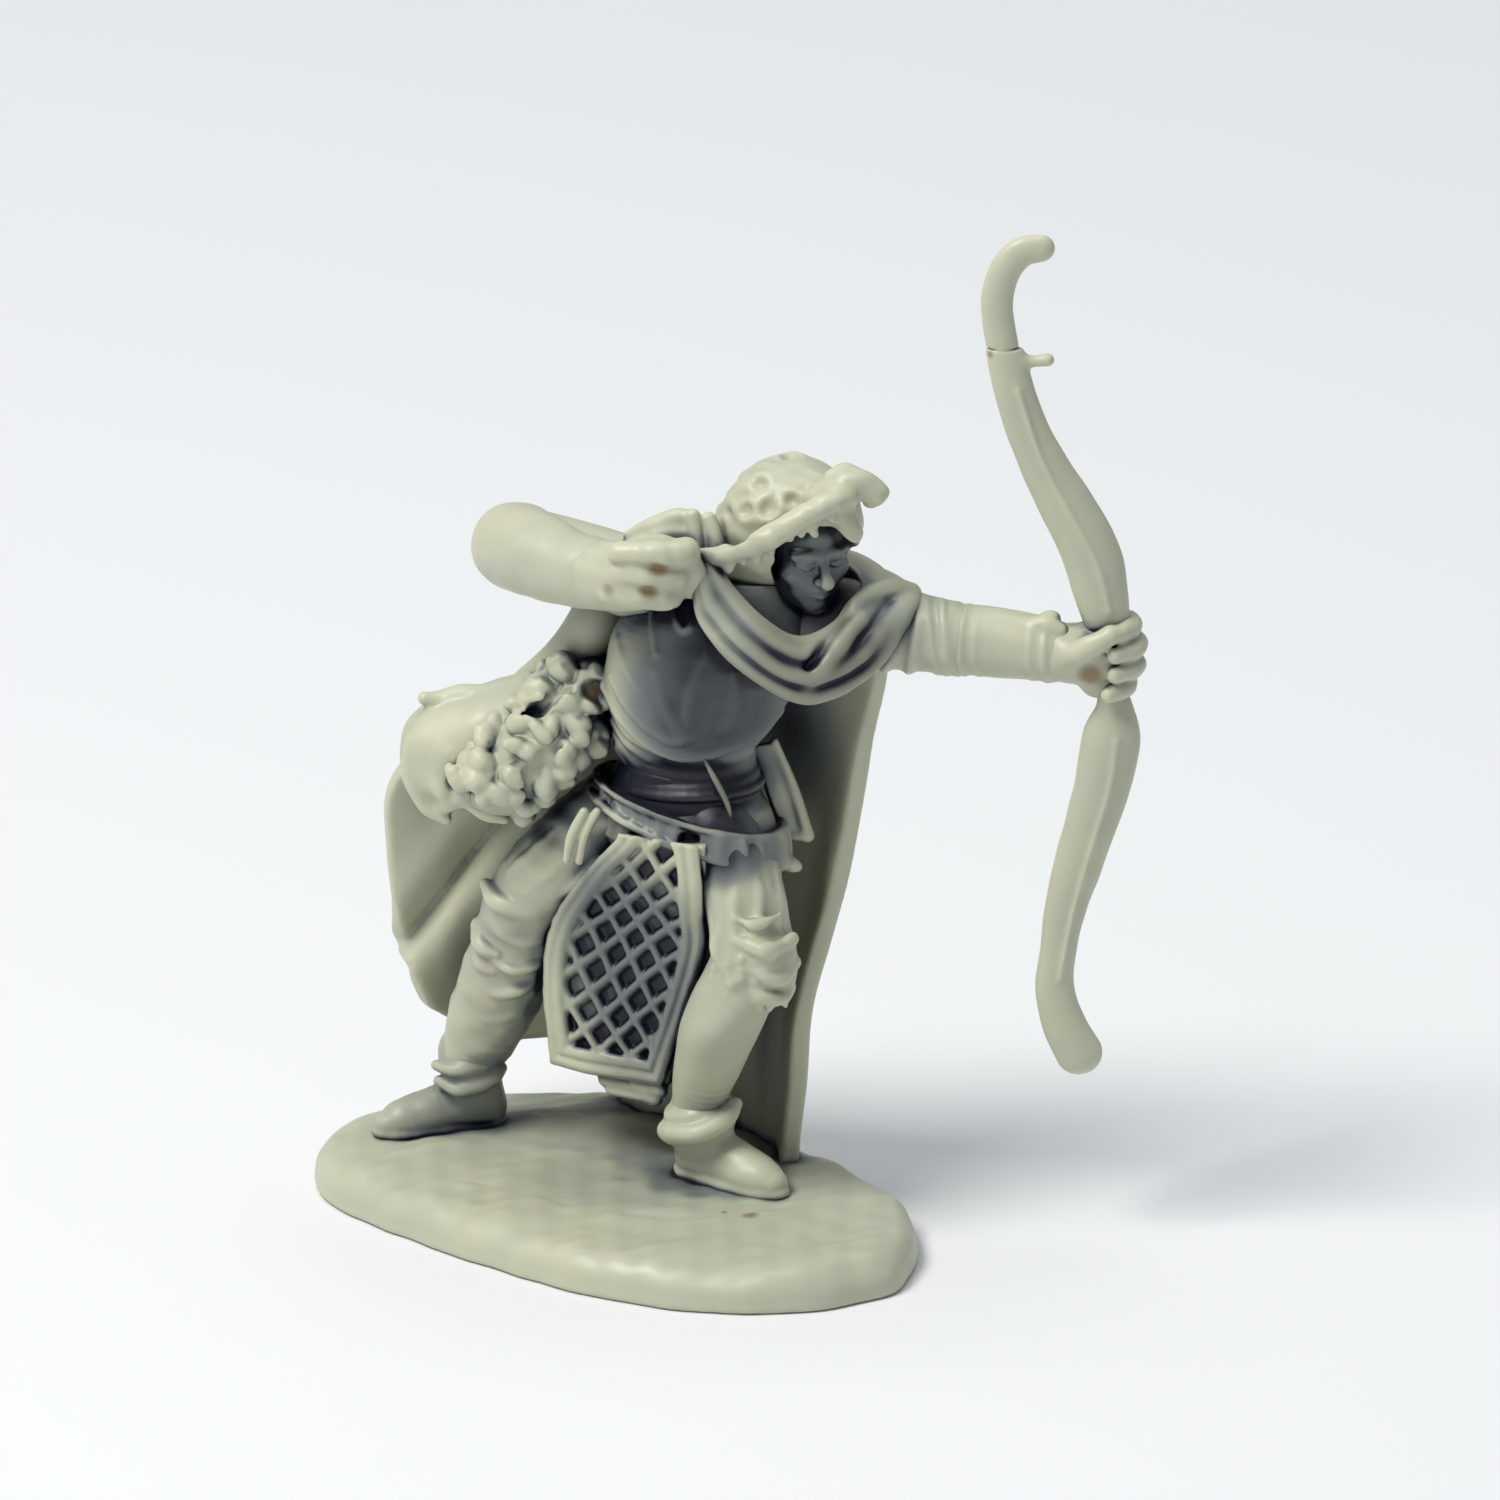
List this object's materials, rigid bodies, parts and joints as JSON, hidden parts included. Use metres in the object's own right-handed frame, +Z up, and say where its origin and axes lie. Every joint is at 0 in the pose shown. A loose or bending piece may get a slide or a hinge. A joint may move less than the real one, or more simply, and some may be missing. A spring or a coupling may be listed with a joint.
{
  "type": "tabletop gaming miniature",
  "caption": "Unpainted cast plastic miniature of a hooded archer, cloaked, drawing a recurve bow with no string, on a flat oval base.",
  "frame": {"origin": "on the flat underside of the base, at the middle of its oval outline's width", "axes": "+Z up out of the base; +X is the way the archer aims the bow; the front of the chest faces -Y"},
  "size_m": [0.0347, 0.0225, 0.0439],
  "materials": {
    "cast_plastic": "satin, unpainted, pale grey-green, slightly soft"
  },
  "bodies": {
    "root": {"base": "cast_plastic", "left_boot": "cast_plastic", "right_boot": "cast_plastic", "hips": "cast_plastic", "left_leg": "cast_plastic", "right_leg": "cast_plastic", "torso": "cast_plastic", "breastplate": "cast_plastic", "waist_sash": "cast_plastic", "tunic_skirt": "cast_plastic", "scale_tabard": "cast_plastic", "side_flap": "cast_plastic", "head": "cast_plastic", "hood": "cast_plastic", "cowl": "cast_plastic", "cloak": "cast_plastic", "bow_arm": "cast_plastic", "bow_bracer": "cast_plastic", "bow_hand": "cast_plastic", "bow_upper_limb": "cast_plastic", "bow_upper_tip": "cast_plastic", "bow_lower_limb": "cast_plastic", "draw_upper_arm": "cast_plastic", "draw_forearm": "cast_plastic", "draw_hand": "cast_plastic", "bedroll": "cast_plastic", "fur_pelt": "cast_plastic"}
  },
  "joints": []
}
